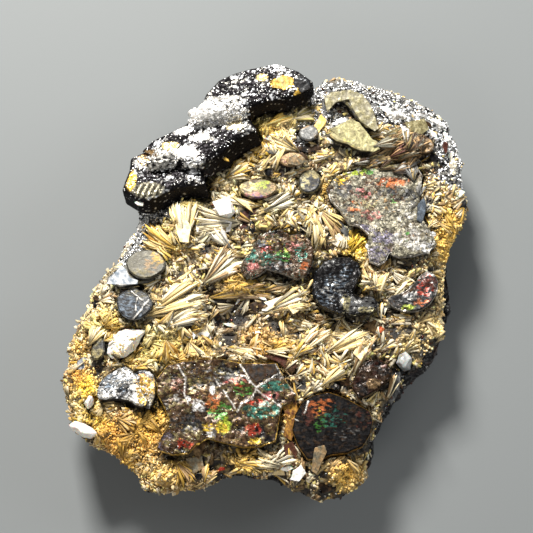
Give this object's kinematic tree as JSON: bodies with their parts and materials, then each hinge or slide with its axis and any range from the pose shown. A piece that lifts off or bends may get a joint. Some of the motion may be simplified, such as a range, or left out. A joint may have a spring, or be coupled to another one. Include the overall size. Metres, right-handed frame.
{
  "type": "mineral specimen",
  "caption": "Palm-size mineral specimen: a hematite slab with a mat of golden rutile sheaves, thin dark hematite plates, thick tabular crystals and quartz grains.",
  "frame": {"origin": "under the middle of the specimen's bounding box, on the plane that it rests on", "axes": "+Z out of the face with the rutile, +Y towards the end with the top crystal, +X to the right of the face"},
  "size_m": [0.0382, 0.0417, 0.01],
  "materials": {
    "hematite": "dark metallic grey, granular",
    "rutile": "golden tan, fibrous",
    "grey_plate": "metallic grey",
    "black_plate": "glossy black metallic",
    "brown_plate": "brown metallic",
    "silver_plate": "speckled silver metallic",
    "olive_plate": "olive, silky",
    "quartz": "milky white"
  },
  "bodies": {
    "root": {"hematite_slab": "hematite", "rutile_mat": "rutile", "thick_crystals": "hematite", "large_plate": "grey_plate", "brown_flake": "brown_plate", "lobed_plate": "black_plate", "black_oval_plate": "black_plate", "rainbow_edge_plate": "black_plate", "cracked_plate": "brown_plate", "black_plate": "black_plate", "brown_plate": "brown_plate", "olive_disc_plate": "grey_plate", "dark_disc_plate": "grey_plate", "silver_plate": "silver_plate", "folded_olive_plate": "olive_plate", "lower_olive_plate": "olive_plate", "small_dark_disc": "black_plate", "yellow_disc": "olive_plate", "red_brown_disc": "brown_plate", "grey_disc": "grey_plate", "olive_shard": "grey_plate", "quartz_left": "quartz", "quartz_lower_left": "quartz", "quartz_corner": "quartz", "quartz_upper": "quartz", "quartz_right": "quartz", "quartz_bottom": "quartz"}
  },
  "joints": []
}
